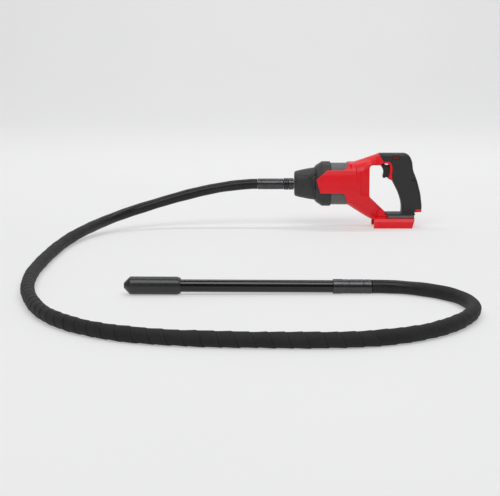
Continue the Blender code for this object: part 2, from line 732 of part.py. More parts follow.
def build_motor():
    turned("motor_shaft", [
        (0.0, 0.0655), (SHAFT_R, 0.0655), (SHAFT_R, -0.0262), (0.0, -0.0262),
    ], STEEL, drive_line)
    ring("motor_rotor", SHAFT_R + GAP, ROTOR_R - 0.0003, 0.0030, 0.0330, DARK_STEEL, drive_line)
    ring("motor_front_bearing", SHAFT_R + GAP, 0.0110, 0.0400, 0.0470, STEEL, drive_line)
    ring("motor_rear_bearing", SHAFT_R + GAP, 0.0095, -0.0245, -0.0175, STEEL, drive_line)
    turned("motor_front_plate", [
        (0.0370, 0.0450), (0.0370, 0.0400), (0.0130, 0.0400), (0.0130, 0.0385), (0.0113, 0.0385),
        (0.0113, 0.0450),
    ], ALUMINIUM, drive_line)
    turned("motor_rear_plate", [
        (0.0260, -0.0235), (0.0260, -0.0265), (0.0098, -0.0265), (0.0098, -0.0185), (0.0125, -0.0185),
        (0.0125, -0.0235),
    ], BLACK_PLASTIC, drive_line)
    build_stator()
    build_fan()


def build_stator():
    """Laminated ring with inward teeth."""
    bm = bmesh.new()
    outer = []
    inner = []
    steps = STATOR_TEETH * 8
    for k in range(steps):
        angle = 2.0 * math.pi * k / steps
        on_tooth = (k % 8) in (0, 1, 7)
        bore = ROTOR_R + 0.0008 if on_tooth else 0.0245
        outer.append((STATOR_R * math.cos(angle), STATOR_R * math.sin(angle)))
        inner.append((bore * math.cos(angle), bore * math.sin(angle)))
    levels = []
    for station in (0.0020, 0.0340):
        rings = [[bm.verts.new((x, y, station)) for x, y in loop] for loop in (outer, inner)]
        levels.append(rings)
    for i in range(steps):
        for (low, high) in ((levels[0][0], levels[1][0]), (levels[0][1], levels[1][1])):
            bm.faces.new((low[i - 1], low[i], high[i], high[i - 1]))
        for rings in levels:
            bm.faces.new((rings[0][i - 1], rings[0][i], rings[1][i], rings[1][i - 1]))
    mesh_object("motor_stator", bm, COPPER, drive_line)


def build_fan():
    """Cooling fan behind the rotor: a disc with straight blades on one face."""
    fan = turned("motor_fan", [
        (FAN_R, -0.0130), (FAN_R, -0.0145), (SHAFT_R + GAP, -0.0145), (SHAFT_R + GAP, -0.0050),
        (0.0085, -0.0050), (0.0085, -0.0130),
    ], BLACK_PLASTIC, drive_line, steps=22)
    bm = bmesh.new()
    blade = Matrix.Translation((0.0178, 0.0, -0.0095)) @ Matrix.Diagonal((0.0200, 0.0014, 0.0080, 1.0))
    for k in range(FAN_BLADES):
        turn = Matrix.Rotation(2.0 * math.pi * (k + 0.5) / FAN_BLADES, 4, "Z")
        bmesh.ops.create_cube(bm, size=1.0, matrix=turn @ blade)
    absorb(fan, mesh_object("blades", bm, None, drive_line))
    shade_round(fan)


def build_nose():
    turned("nose_casting", [
        (0.0255, 0.1385), (0.0263, 0.1300), (0.0315, 0.1000), (0.0355, 0.0900), (0.0365, 0.0630),
        (0.0340, 0.0630), (0.0300, 0.0690), (0.0134, 0.0690), (0.0134, 0.1055), (0.0164, 0.1055),
        (0.0164, 0.1108), (0.0113, 0.1108), (0.0113, 0.1385),
    ], ALUMINIUM, drive_line, steps=24)
    turned("output_spigot", [
        (0.0104, 0.1595), (SPIGOT_R, 0.1590), (SPIGOT_R, 0.1104), (0.0160, 0.1104), (0.0160, 0.1060),
        (0.0076, 0.1060), (0.0076, 0.1595),
    ], STEEL, drive_line, steps=20)
    ring("spindle_front_bearing", 0.0068, 0.0131, 0.0945, 0.1040, STEEL, drive_line)
    ring("spindle_rear_bearing", 0.0068, 0.0131, 0.0705, 0.0795, STEEL, drive_line)
    turned("output_spindle", [
        (0.0, 0.1180), (0.0039, 0.1180), (0.0039, 0.1385), (SPINDLE_R, 0.1385), (SPINDLE_R, 0.0940),
        (0.0085, 0.0940), (0.0085, 0.0800), (SPINDLE_R, 0.0800), (SPINDLE_R, 0.0695), (0.0095, 0.0690),
        (0.0095, 0.0560), (SHAFT_R + GAP, 0.0560), (SHAFT_R + GAP, 0.0660), (0.0, 0.0660),
    ], STEEL, drive_line)
    turned("release_collar", [
        (0.0136, 0.1608), (COLLAR_R, 0.1600), (COLLAR_R, 0.1492), (0.0136, 0.1485), (0.0113, 0.1485),
        (0.0113, 0.1608),
    ], STEEL, drive_line, steps=24)


def build_collar_spring():
    turns = 4
    per_turn = 12
    radius = 0.0129
    first, last = 0.1394, 0.1476
    points = []
    for k in range(turns * per_turn + 1):
        angle = 2.0 * math.pi * k / per_turn
        station = first + (last - first) * k / (turns * per_turn)
        points.append((radius * math.cos(angle), radius * math.sin(angle), station))
    tube_curve("collar_spring", points, 0.0005, 1, STEEL, drive_line)


# ---------------------------------------------------------------- hose

def tube_curve(name, points, radius, resolution, look, parent=None, capped=True):
    curve = bpy.data.curves.new(name, "CURVE")
    curve.dimensions = "3D"
    curve.bevel_depth = radius
    curve.bevel_resolution = resolution
    curve.use_fill_caps = capped
    spline = curve.splines.new("POLY")
    spline.points.add(len(points) - 1)
    for target, point in zip(spline.points, points):
        target.co = (*point, 1.0)
    return place(bpy.data.objects.new(name, curve), look, parent)


def smooth_route(points, step):
    """Even points along the smooth curve through the route's own points, its two ends left out."""
    knots = [Vector(p) for p in points]
    dense = []
    for p0, p1, p2, p3 in zip(knots, knots[1:], knots[2:], knots[3:]):
        for k in range(20):
            t = k / 20.0
            dense.append(0.5 * (2.0 * p1 + (p2 - p0) * t + (2.0 * p0 - 5.0 * p1 + 4.0 * p2 - p3) * t ** 2
                                + (3.0 * p1 - p0 - 3.0 * p2 + p3) * t ** 3))
    dense.append(knots[-2])
    lengths = [(b - a).length for a, b in zip(dense, dense[1:])]
    count = round(sum(lengths) / step)
    spacing = sum(lengths) / count
    even = [dense[0]]
    walked = 0.0
    for point, length in zip(dense[1:], lengths):
        walked += length
        if walked >= spacing * len(even) - MERGE and len(even) < count:
            even.append(point)
    even.append(dense[-1])
    return even


def head_direction():
    flat = math.cos(HEAD_RISE)
    return Vector((-math.cos(HEAD_HEADING) * flat, -math.sin(HEAD_HEADING) * flat, math.sin(HEAD_RISE)))


def build_hose():
    ahead = head_direction()
    exit_point = Vector((-TOOL_FERRULE_END, 0.0, AXIS_Z))
    head_start = Vector(HEAD_START)
    route = smooth_route([exit_point, *HOSE_ROUTE, head_start], ROUTE_STEP)
    casing_points = [exit_point, *route, head_start]
    casing = tube_curve("flex_casing", casing_points, 0.5 * HOSE_D, 2, HOSE_BLACK, capped=False)
    wall = casing.modifiers.new("Hose wall", "SOLIDIFY")
    wall.thickness = HOSE_WALL
    wall.offset = -1.0
    core_start = Vector((-0.1820, 0.0, AXIS_Z))
    core_end = head_start + ahead * 0.2380
    core_points = [core_start, exit_point, *route, head_start, head_start + ahead * 0.1000, core_end]
    tube_curve("flex_core", core_points, 0.5 * CORE_D, 2, STEEL)
    turned("tool_ferrule", [
        (0.0126, 0.2347), (0.0131, 0.2340), (0.0131, 0.1733), (0.0126, 0.1727), (CORE_BORE_R, 0.1727),
        (CORE_BORE_R, 0.2347),
    ], DARK_STEEL, drive_line, steps=24)
    turned("hose_coupler", [
        (0.0136, 0.1723), (COLLAR_R, 0.1717), (COLLAR_R, 0.1619), (0.0136, 0.1612), (0.0072, 0.1612),
        (0.0072, 0.1420), (0.0042, 0.1420), (0.0042, 0.1723),
    ], DARK_STEEL, drive_line, steps=24)
    turned("drive_tip", [
        (0.0, 0.1815), (0.0034, 0.1815), (0.0034, 0.1185), (0.0, 0.1185),
    ], STEEL, drive_line, steps=6)


# ---------------------------------------------------------------- head

def build_head():
    turned("head_ferrule", [
        (CORE_BORE_R, 0.0700), (0.0128, 0.0700), (0.0132, 0.0692), (0.0132, 0.0540), (0.0127, 0.0520),
        (0.0127, 0.0012), (0.0122, 0.0003), (CORE_BORE_R, 0.0003),
    ], DARK_STEEL, head_line, steps=24)
    ring("head_tube", HEAD_BORE_R, HEAD_TUBE_R, 0.0703, 0.4298, TUBE_STEEL, head_line, steps=24)
    turned("head_tip", [
        (0.0, HEAD_LENGTH), (0.0050, HEAD_LENGTH), (HEAD_TIP_R, 0.4318), (HEAD_TIP_R, 0.3476),
        (0.0136, TIP_START), (HEAD_TUBE_R + GAP, TIP_START), (HEAD_TUBE_R + GAP, 0.4303), (0.0, 0.4303),
    ], TIP_BLACK, head_line, steps=24)
    turned("head_plug", [(0.0, 0.4294), (0.0087, 0.4294), (0.0087, 0.4180), (0.0, 0.4180)], STEEL, head_line)
    ring("head_front_bearing", 0.0038, 0.0087, 0.4070, 0.4150, STEEL, head_line)
    ring("head_rear_bearing", 0.0038, 0.0087, 0.2700, 0.2790, STEEL, head_line)
    ring("head_seal", 0.0038, 0.0087, 0.2600, 0.2660, GRIP_BLACK, head_line)
    weight = turned("eccentric_weight", [
        (0.0, 0.4165), (0.0035, 0.4165), (0.0035, 0.4030), (0.0082, 0.4030), (0.0082, 0.2830),
        (0.0035, 0.2830), (0.0035, 0.2440), (0.0, 0.2440),
    ], STEEL, head_line)
    relief = box("eccentric_relief", (0.0015, -0.0100, 0.2833), (0.0100, 0.0100, 0.4027), parent=head_line)
    subtract(weight, relief)
    turned("core_end_fitting", [
        (0.0, 0.2390), (0.0043, 0.2390), (0.0043, 0.2230), (0.0054, 0.2230), (0.0054, 0.2560),
        (0.0038, 0.2560), (0.0038, 0.2430), (0.0, 0.2430),
    ], BRASS, head_line)


# ---------------------------------------------------------------- assembly

clear_scene()
parts_collection = new_collection("concrete_vibrator")
cutters_collection = new_collection("cutters")

drive_line = bpy.data.objects.new("drive_line", None)
drive_line.location = (0.0, 0.0, AXIS_Z)
drive_line.rotation_euler = (0.0, math.radians(-90.0), 0.0)
parts_collection.objects.link(drive_line)

head_line = bpy.data.objects.new("head_line", None)
head_line.location = HEAD_START
head_line.rotation_mode = "QUATERNION"
head_line.rotation_quaternion = head_direction().to_track_quat("Z", "X")
parts_collection.objects.link(head_line)
bpy.context.view_layer.update()

build_shells()
build_screws()
build_handle_fittings()
build_foot_fittings()
build_control_board()
build_nose_boot()
build_bumper_ring()
build_motor_sleeve()
build_motor()
build_nose()
build_collar_spring()
build_hose()
build_head()
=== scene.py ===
"""Looks of the cordless concrete vibrator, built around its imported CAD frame."""
import json
import math

import bmesh
import bpy
import numpy as np
from mathutils import Matrix, Vector


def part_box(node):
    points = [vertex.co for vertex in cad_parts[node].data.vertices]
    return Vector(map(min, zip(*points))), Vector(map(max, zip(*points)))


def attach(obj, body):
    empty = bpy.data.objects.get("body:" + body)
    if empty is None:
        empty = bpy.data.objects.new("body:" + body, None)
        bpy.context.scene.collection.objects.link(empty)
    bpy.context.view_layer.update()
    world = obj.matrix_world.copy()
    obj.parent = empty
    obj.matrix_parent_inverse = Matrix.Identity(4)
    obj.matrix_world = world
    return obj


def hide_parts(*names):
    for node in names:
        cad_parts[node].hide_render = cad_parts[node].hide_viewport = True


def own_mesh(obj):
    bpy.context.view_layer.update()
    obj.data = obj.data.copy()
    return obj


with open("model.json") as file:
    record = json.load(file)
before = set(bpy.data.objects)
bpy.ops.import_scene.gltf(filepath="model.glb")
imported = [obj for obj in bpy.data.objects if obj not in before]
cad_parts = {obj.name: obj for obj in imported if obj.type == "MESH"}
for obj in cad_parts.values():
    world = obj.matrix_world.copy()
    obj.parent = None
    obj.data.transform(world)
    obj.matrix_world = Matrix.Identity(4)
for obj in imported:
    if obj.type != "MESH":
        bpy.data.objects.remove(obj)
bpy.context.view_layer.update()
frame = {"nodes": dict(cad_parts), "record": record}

# Camera, at the height and pitch that the tool is looked at from.
CAMERA_AT = (-0.2534, -2.883, 0.4533)
CAMERA_PITCH = math.radians(9.977)
LENS_MM = 86.4
SENSOR_MM = 36.0

# Studio: a floor that reaches past every view and curves up into a wall.
FLOOR_REACH = 24.0
CURVE_STARTS_Y = 3.2
CURVE_R = 1.5
WALL_TOP_Z = 7.0
BACKDROP_GLOW = 0.40
WORLD_GLOW = 0.12
OVERHEAD_W = 61.0
WALL_WASH_W = 104.0

# Route of the hose, from the nose to the head, in metres, and where the head lies and points.
HOSE_D = 0.0250
HOSE_EXIT = (-0.2350, 0.0, 0.1035)
HEAD_START = (-0.0354, -0.7769, 0.0128)
HEAD_HEADING = math.radians(1.4)
HEAD_RISE = math.radians(0.557)
HOSE_ROUTE = [
    (-0.255, 0.000, 0.1030), (-0.302, -0.001, 0.0985), (-0.350, -0.003, 0.0905), (-0.398, -0.008, 0.0800),
    (-0.446, -0.017, 0.0680), (-0.493, -0.032, 0.0555), (-0.540, -0.057, 0.0433), (-0.584, -0.098, 0.0315),
    (-0.620, -0.160, 0.0222), (-0.645, -0.240, 0.0165), (-0.659, -0.330, 0.0136), (-0.6655, -0.430, 0.0128),
    (-0.668, -0.545, 0.0127), (-0.665, -0.668, 0.0127), (-0.650, -0.790, 0.0127), (-0.624, -0.893, 0.0127),
    (-0.586, -0.988, 0.0127), (-0.532, -1.062, 0.0127), (-0.466, -1.113, 0.0127), (-0.388, -1.143, 0.0127),
    (-0.298, -1.157, 0.0127), (-0.205, -1.162, 0.0127), (-0.120, -1.161, 0.0127), (-0.060, -1.149, 0.0127),
    (0.000, -1.121, 0.0127), (0.050, -1.078, 0.0127), (0.091, -1.021, 0.0127), (0.114, -0.960, 0.0127),
    (0.116, -0.904, 0.0127), (0.099, -0.851, 0.0127), (0.064, -0.810, 0.0127), (0.020, -0.785, 0.0127),
    (-0.0190, -0.7765, 0.0127),
]
RING_SPACING = 0.0022
HOSE_SIDES = 40

# The hose's skin. Each zone has, at its tool end and then its head end, a bare and a fading length.
# Each swell of the skin has a size, a rate along the hose and a start.
WRAP_PITCH = 0.0262
WRAP_STEP = 0.00085
TAPE_ENDS = ((0.68, 0.60), (0.22, 0.08))
DULL_ENDS = ((0.36, 0.20), (0.03, 0.12))
SWELLS = ((0.00022, 47.0, 0.0), (0.00018, 113.0, 1.0))
THREAD_SPACING = 0.0011

# The power unit: its drive line, its barrel's centre and section, and how fine its mouldings are.
AXIS_Z = 0.1035
BARREL_Z = 0.1045
SQUARENESS = 2.7
COARSE_VOXEL = 0.0008
FINE_VOXEL = 0.0004
SHARP_ANGLE = 35.0

SCREW_HEAD_R = 0.0036
SCREW_HEAD_H = 0.0026
SCREW_SHANK_R = 0.0015
SOCKET_LOBE = 0.00022

# Details pressed into the mouldings: outlines and lines in side view, as (x, z).
FLANK_RECESS = [
    (0.0090, 0.0870), (0.0090, 0.1350), (0.0290, 0.1430), (0.0420, 0.1430), (0.0420, 0.0800),
    (0.0140, 0.0800),
]
FLANK_RECESS_DEPTH = 0.0026
NOTCH = [(-0.0185, 0.1563), (-0.0114, 0.1563), (-0.0114, 0.1437)]
NOTCH_DEPTH = 0.0035
FOOT_GROOVE = [(0.0568, 0.0082), (0.1017, 0.0082)]
FOOT_GROOVE_DEPTH = 0.0006
GRIP_CENTRE = [
    (0.0900, 0.1640), (0.1050, 0.1500), (0.1150, 0.1250), (0.1240, 0.1000), (0.1330, 0.0800),
    (0.1370, 0.0560),
]
GRIP_HALF_DEPTH = 0.024
GRIP_FOOT_Z = 0.0440
GRIP_CROWN = 0.0012
BOOT_CHEVRON = [(-0.0943, 0.1362), (-0.1094, 0.1223), (-0.1052, 0.1070), (-0.0911, 0.0762)]
BOOT_RIDGE = 0.0020
BOOT_VALLEY_SHIFT = -0.0040
BOOT_VALLEY_DEPTH = 0.0009
BOOT_GROOVE = [(-0.1341, 0.1256), (-0.1136, 0.1256)]
SLEEVE_ENDS = (-0.0600, -0.0183)
SLEEVE_HALF_SIZE = (0.0500, 0.0425)
SLEEVE_SKIN = 0.0030
SLEEVE_LINE_HEIGHT = 0.0395
SLEEVE_POCKET = (-0.0272, 0.0455)


# ---------------------------------------------------------------- materials

class Look:
    """A Principled material, with short ways to add nodes to it."""

    def __init__(self, name, colour, roughness, metallic=0.0):
        self.material = bpy.data.materials.new(name)
        self.material.use_nodes = True
        self.nodes = self.material.node_tree.nodes
        self.links = self.material.node_tree.links
        self.shader = self.nodes["Principled BSDF"]
        self.shader.inputs["Base Color"].default_value = (*colour, 1.0)
        self.shader.inputs["Roughness"].default_value = roughness
        self.shader.inputs["Metallic"].default_value = metallic
        self.place = self.add("ShaderNodeTexCoord").outputs["Object"]

    def add(self, kind, inputs=None, **settings):
        node = self.nodes.new(kind)
        for key, value in settings.items():
            setattr(node, key, value)
        for key, value in (inputs or {}).items():
            self.put(node.inputs[key], value)
        return node

    def put(self, socket, value):
        if isinstance(value, bpy.types.NodeSocket):
            self.links.new(value, socket)
        else:
            socket.default_value = value

    def scaled(self, scale, vector=None):
        """Coordinates stretched by a different amount on each axis."""
        mapping = self.add("ShaderNodeMapping", {"Vector": vector or self.place, "Scale": scale})
        return mapping.outputs["Vector"]

    def noise(self, scale, detail=3.0, rough=0.55, vector=None):
        found = self.add("ShaderNodeTexNoise", {
            "Vector": vector or self.place, "Scale": scale, "Detail": detail, "Roughness": rough,
        })
        return found.outputs["Fac"]

    def cells(self, scale, feature="F1"):
        found = self.add("ShaderNodeTexVoronoi", {"Vector": self.place, "Scale": scale}, feature=feature)
        return found.outputs["Distance"]

    def math(self, operation, first, second=0.0):
        return self.add("ShaderNodeMath", {0: first, 1: second}, operation=operation).outputs[0]

    def span(self, value, low, high, start=0.0, end=1.0):
        """Value mapped from low..high to start..end, held at the ends."""
        found = self.add("ShaderNodeMapRange", {
            "Value": value, "From Min": low, "From Max": high, "To Min": start, "To Max": end,
        })
        return found.outputs["Result"]

    def blend(self, amount, first, second):
        """Colour between the first and the second, by an amount from 0 to 1."""
        mix = self.add("ShaderNodeMix", {"Factor": amount}, data_type="RGBA")
        for socket, colour in ((mix.inputs[6], first), (mix.inputs[7], second)):
            self.put(socket, colour if isinstance(colour, bpy.types.NodeSocket) else (*colour, 1.0))
        return mix.outputs[2]

    def bump(self, height, distance, strength, normal=None):
        inputs = {"Height": height, "Distance": distance, "Strength": strength}
        if normal:
            inputs["Normal"] = normal
        return self.add("ShaderNodeBump", inputs).outputs["Normal"]

    def finish(self, colour=None, roughness=None, normal=None):
        for key, value in (("Base Color", colour), ("Roughness", roughness), ("Normal", normal)):
            if value:
                self.links.new(value, self.shader.inputs[key])
        return self.material

    def edges(self):
        """1 on convex edges, where handling wears the surface, and 0 elsewhere."""
        return self.span(self.add("ShaderNodeNewGeometry").outputs["Pointiness"], 0.515, 0.56)


def shade(colour, factor):
    return tuple(min(1.0, channel * factor) for channel in colour)


def moulded(name, colour, roughness, grain=1500.0, relief=0.00002, wear=0.1, dust=0.0, shine=0.5):
    """Moulded plastic or rubber: fine sparked grain, slow mottling, and paler rubbed edges."""
    look = Look(name, colour, roughness)
    look.shader.inputs["Specular IOR Level"].default_value = shine
    slow = look.span(look.noise(14.0), 0.3, 0.7)
    fine = look.noise(420.0, 4.0)
    base = look.blend(slow, shade(colour, 0.93), shade(colour, 1.07))
    base = look.blend(look.span(fine, 0.35, 0.75, 0.0, 0.18), base, shade(colour, 0.80))
    scuffs = look.span(look.noise(55.0, 6.0, 0.7), 0.56, 0.70)
    rubbed = look.math("MULTIPLY", look.edges(), look.span(scuffs, 0.0, 1.0, 0.35, 1.0))
    base = look.blend(look.math("MULTIPLY", rubbed, wear), base, tuple(0.55 * c + 0.45 * 0.5 for c in colour))
    if dust:
        base = look.blend(look.math("MULTIPLY", scuffs, dust), base, (0.36, 0.34, 0.31))
    rough = look.span(look.noise(70.0, 5.0), 0.3, 0.7, roughness - 0.05, roughness + 0.07)
    pits = look.cells(grain)
    normal = look.bump(look.noise(grain * 0.6, 2.0), relief, 0.6)
    normal = look.bump(pits, relief, 0.7, normal)
    return look.finish(base, rough, normal)


def turned_metal(name, colour, roughness):
    """Metal turned round X: fine rings, smudges and slightly brighter edges."""
    look = Look(name, colour, roughness, 1.0)
    rings = look.noise(1.0, 3.0, 0.6, look.scaled((3200.0, 12.0, 12.0)))
    cloud = look.noise(90.0, 5.0, 0.6)
    base = look.blend(look.span(cloud, 0.35, 0.7), shade(colour, 0.88), shade(colour, 1.10))
    base = look.blend(look.math("MULTIPLY", look.edges(), 0.35), base, shade(colour, 1.6))
    rough = look.math("ADD", look.span(rings, 0.3, 0.7, roughness - 0.04, roughness + 0.05),
                      look.span(cloud, 0.4, 0.75, 0.0, 0.06))
    return look.finish(base, rough, look.bump(rings, 0.00001, 0.5))


def cast_metal(name, colour, roughness):
    """Die-cast metal: an even grain and slow clouds."""
    look = Look(name, colour, roughness, 1.0)
    grain = look.noise(900.0, 4.0, 0.6)
    base = look.blend(look.span(look.noise(60.0), 0.3, 0.7), shade(colour, 0.85), shade(colour, 1.08))
    rough = look.span(grain, 0.3, 0.7, roughness - 0.06, roughness + 0.10)
    return look.finish(base, rough, look.bump(grain, 0.00008, 0.6))


def gloss_tube(name, colour):
    """Black lacquered steel tube with faint lengthwise drawing marks and dust."""
    look = Look(name, colour, 0.13)
    look.shader.inputs["Specular IOR Level"].default_value = 0.42
    look.shader.inputs["Coat Weight"].default_value = 0.20
    look.shader.inputs["Coat Roughness"].default_value = 0.08
    marks = look.noise(1.0, 3.0, 0.6, look.scaled((6.0, 900.0, 900.0)))
    cloud = look.noise(45.0, 6.0, 0.65)
    base = look.blend(look.span(cloud, 0.45, 0.8, 0.0, 0.35), colour, shade(colour, 2.2))
    rough = look.math("ADD", look.span(marks, 0.3, 0.7, 0.08, 0.14), look.span(cloud, 0.5, 0.8, 0.0, 0.14))
    return look.finish(base, rough, look.bump(marks, 0.000006, 0.4))


def wrapped_cloth(name, colour):
    """Black rubber hose wound with rubberised cloth tape between its two bare ends.

    The map "wrap" runs along and round the hose in metres. The map "zone" says where there is
    tape, and where the skin is dull.
    """
    look = Look(name, colour, 0.60)
    look.shader.inputs["Specular IOR Level"].default_value = 0.18
    uv = look.add("ShaderNodeUVMap", uv_map="wrap").outputs["UV"]
    split = look.add("ShaderNodeSeparateXYZ", {"Vector": uv})
    along, around = split.outputs["X"], split.outputs["Y"]
    zone_map = look.add("ShaderNodeUVMap", uv_map="zone").outputs["UV"]
    zones = look.add("ShaderNodeSeparateXYZ", {"Vector": zone_map})
    taped, dull = zones.outputs["X"], zones.outputs["Y"]
    turn = look.math("DIVIDE", around, math.pi * HOSE_D)
    phase = look.math("FRACT", look.math("SUBTRACT", look.math("DIVIDE", along, WRAP_PITCH), turn))
    # Painted shade: a dark line at the foot of each lap's step. Painted highlight: a paler band along the
    # raised lap edge just above it.
    lap = look.math("MULTIPLY", look.span(phase, 0.0, 0.075, 1.0, 0.0), taped)
    painted_edge_highlight = look.math("MULTIPLY", look.span(phase, 0.93, 1.0), taped)
    warp = look.math("SINE", look.math("MULTIPLY", along, 2.0 * math.pi / THREAD_SPACING))
    weft = look.math("SINE", look.math("MULTIPLY", around, 2.0 * math.pi / THREAD_SPACING))
    weave = look.math("MULTIPLY", look.span(look.math("MULTIPLY", warp, weft), -1.0, 1.0), taped)
    cloud = look.noise(38.0, 5.0, 0.6)
    base = look.blend(look.span(cloud, 0.3, 0.75), shade(colour, 0.72), shade(colour, 1.30))
    base = look.blend(look.math("MULTIPLY", weave, 0.25), base, shade(colour, 1.5))
    # Painted highlight on each raised lap edge, then painted shade at the foot of each step.
    base = look.blend(look.math("MULTIPLY", painted_edge_highlight, 0.28), base, shade(colour, 2.2))
    base = look.blend(look.math("MULTIPLY", lap, 0.90), base, shade(colour, 0.15))
    rough = look.math("ADD", look.span(cloud, 0.3, 0.7, 0.20, 0.30), look.math("MULTIPLY", dull, 0.42))
    wrinkles = look.noise(1.0, 4.0, 0.6, look.scaled((120.0, 420.0, 1.0), uv))
    normal = look.bump(weave, 0.00012, 0.5)
    normal = look.bump(look.math("MULTIPLY", wrinkles, look.math("ADD", taped, 0.12)), 0.0009, 0.5, normal)
    return look.finish(base, rough, normal)


def board_look(name, colour):
    """Circuit board with paler tracks."""
    look = Look(name, colour, 0.45)
    tracks = look.span(look.cells(260.0, feature="DISTANCE_TO_EDGE"), 0.02, 0.05)
    base = look.blend(tracks, shade(colour, 2.0), colour)
    return look.finish(base, None, look.bump(tracks, 0.00005, 0.5))


def winding_look(name, colour):
    """Enamelled wires laid along X."""
    look = Look(name, colour, 0.38, 0.9)
    wires = look.noise(1.0, 2.0, 0.5, look.scaled((30.0, 1500.0, 1500.0)))
    base = look.blend(look.span(wires, 0.35, 0.65), shade(colour, 0.55), shade(colour, 1.1))
    return look.finish(base, None, look.bump(wires, 0.0002, 0.6))


LOOKS = {
    "moulded_red": moulded("plastic_red", (0.860, 0.0120, 0.0210), 0.36, wear=0.16, shine=0.32),
    "button_red": moulded("plastic_button", (0.120, 0.015, 0.015), 0.50, wear=0.20, shine=0.3),
    "grip_rubber": moulded(
        "rubber_grip", (0.0210, 0.0205, 0.0210), 0.52, grain=900.0, relief=0.00009, wear=0.08, dust=0.02,
    ),
    "boot_rubber": moulded(
        "rubber_boot", (0.0290, 0.0280, 0.0280), 0.52, grain=1100.0, relief=0.00006, wear=0.12, dust=0.03,
    ),
    "hose_wrap": wrapped_cloth("cloth_hose", (0.0240, 0.0237, 0.0244)),
    "grey_plastic": moulded("plastic_grey", (0.135, 0.128, 0.127), 0.48, wear=0.20, shine=0.4),
    "black_plastic": moulded("plastic_black", (0.0200, 0.0185, 0.0180), 0.42, wear=0.12, shine=0.4),
    "steel": turned_metal("metal_steel", (0.34, 0.33, 0.32), 0.28),
    "dark_steel": turned_metal("metal_dark", (0.080, 0.080, 0.083), 0.30),
    "blued_steel": turned_metal("metal_blued", (0.055, 0.055, 0.062), 0.30),
    "polished_tube": gloss_tube("lacquer_tube", (0.0045, 0.0040, 0.0048)),
    "tip_black": moulded(
        "coat_tip", (0.0250, 0.0250, 0.0250), 0.31, grain=1300.0, relief=0.00003, wear=0.10, dust=0.02,
    ),
    "cast_aluminium": cast_metal("metal_cast", (0.60, 0.60, 0.60), 0.48),
    "copper": winding_look("metal_copper", (0.70, 0.33, 0.17)),
    "brass": turned_metal("metal_brass", (0.70, 0.52, 0.22), 0.32),
    "circuit_board": board_look("resin_board", (0.02, 0.14, 0.06)),
}
SLOT_OF = {part["node"]: part["material_slot"] for part in frame["record"]["subparts"]}


def dress(obj, slot):
    obj.data.materials.clear()
    obj.data.materials.append(LOOKS[slot])


# ---------------------------------------------------------------- stage, light and camera

def backdrop_look():
    """Pale paper that glows a little, so that it stays even from the floor up to the wall."""
    look = Look("backdrop", (0.45, 0.45, 0.45), 0.85)
    look.shader.inputs["Emission Color"].default_value = (1.0, 1.0, 1.0, 1.0)
    look.shader.inputs["Emission Strength"].default_value = BACKDROP_GLOW
    soft = look.span(look.noise(2.0, 2.0), 0.3, 0.7)
    return look.finish(look.blend(soft, (0.445, 0.445, 0.445), (0.455, 0.455, 0.455)))


def build_stage():
    """A pale floor, wide enough for any view across it, that curves up into a wall behind."""
    steps = 12
    profile = [(-FLOOR_REACH, 0.0), (CURVE_STARTS_Y, 0.0)]
    for k in range(1, steps + 1):
        angle = 0.5 * math.pi * k / steps
        profile.append((CURVE_STARTS_Y + CURVE_R * math.sin(angle), CURVE_R * (1.0 - math.cos(angle))))
    profile.append((CURVE_STARTS_Y + CURVE_R, WALL_TOP_Z))
    mesh = bpy.data.meshes.new("floor")
    verts = [(x, y, z) for y, z in profile for x in (-FLOOR_REACH, FLOOR_REACH)]
    faces = [(2 * i, 2 * i + 1, 2 * i + 3, 2 * i + 2) for i in range(len(profile) - 1)]
    mesh.from_pydata(verts, [], faces)
    floor = bpy.data.objects.new("floor", mesh)
    bpy.context.scene.collection.objects.link(floor)
    mesh.shade_smooth()
    mesh.materials.append(backdrop_look())


def area_light(name, place, target, size, power):
    data = bpy.data.lights.new(name, "AREA")
    data.shape = "RECTANGLE"
    data.size, data.size_y = size
    data.energy = power
    lamp = bpy.data.objects.new(name, data)
    lamp.location = place
    lamp.rotation_euler = (Vector(target) - Vector(place)).to_track_quat("-Z", "Y").to_euler()
    bpy.context.scene.collection.objects.link(lamp)


def build_light():
    """A dim sky, one wide softbox over the tool, and a wash on the wall behind it."""
    world = bpy.data.worlds.new("studio")
    bpy.context.scene.world = world
    world.use_nodes = True
    sky = world.node_tree.nodes["Background"]
    sky.inputs["Color"].default_value = (0.92, 0.95, 1.0, 1.0)
    sky.inputs["Strength"].default_value = WORLD_GLOW
    area_light("overhead", (-0.25, -2.0, 2.5), (-0.25, -0.5, 0.0), (3.4, 1.6), OVERHEAD_W)
    area_light("wall_wash", (0.0, 1.0, 3.4), (0.0, 3.6, 0.4), (5.0, 1.0), WALL_WASH_W)


def build_camera():
    data = bpy.data.cameras.new("camera")
    data.lens = LENS_MM
    data.sensor_width = SENSOR_MM
    camera = bpy.data.objects.new("camera", data)
    camera.location = CAMERA_AT
    camera.rotation_euler = (0.5 * math.pi - CAMERA_PITCH, 0.0, 0.0)
    bpy.context.scene.collection.objects.link(camera)
    bpy.context.scene.camera = camera


# ---------------------------------------------------------------- mesh helpers

def head_direction():
    flat = math.cos(HEAD_RISE)
    return Vector((-math.cos(HEAD_HEADING) * flat, -math.sin(HEAD_HEADING) * flat, math.sin(HEAD_RISE)))


DRIVE_LINE = Matrix.Translation((0.0, 0.0, AXIS_Z)) @ Matrix.Rotation(math.radians(-90.0), 4, "Y")
HEAD_LINE = Matrix.Translation(HEAD_START) @ head_direction().to_track_quat("Z", "X").to_matrix().to_4x4()


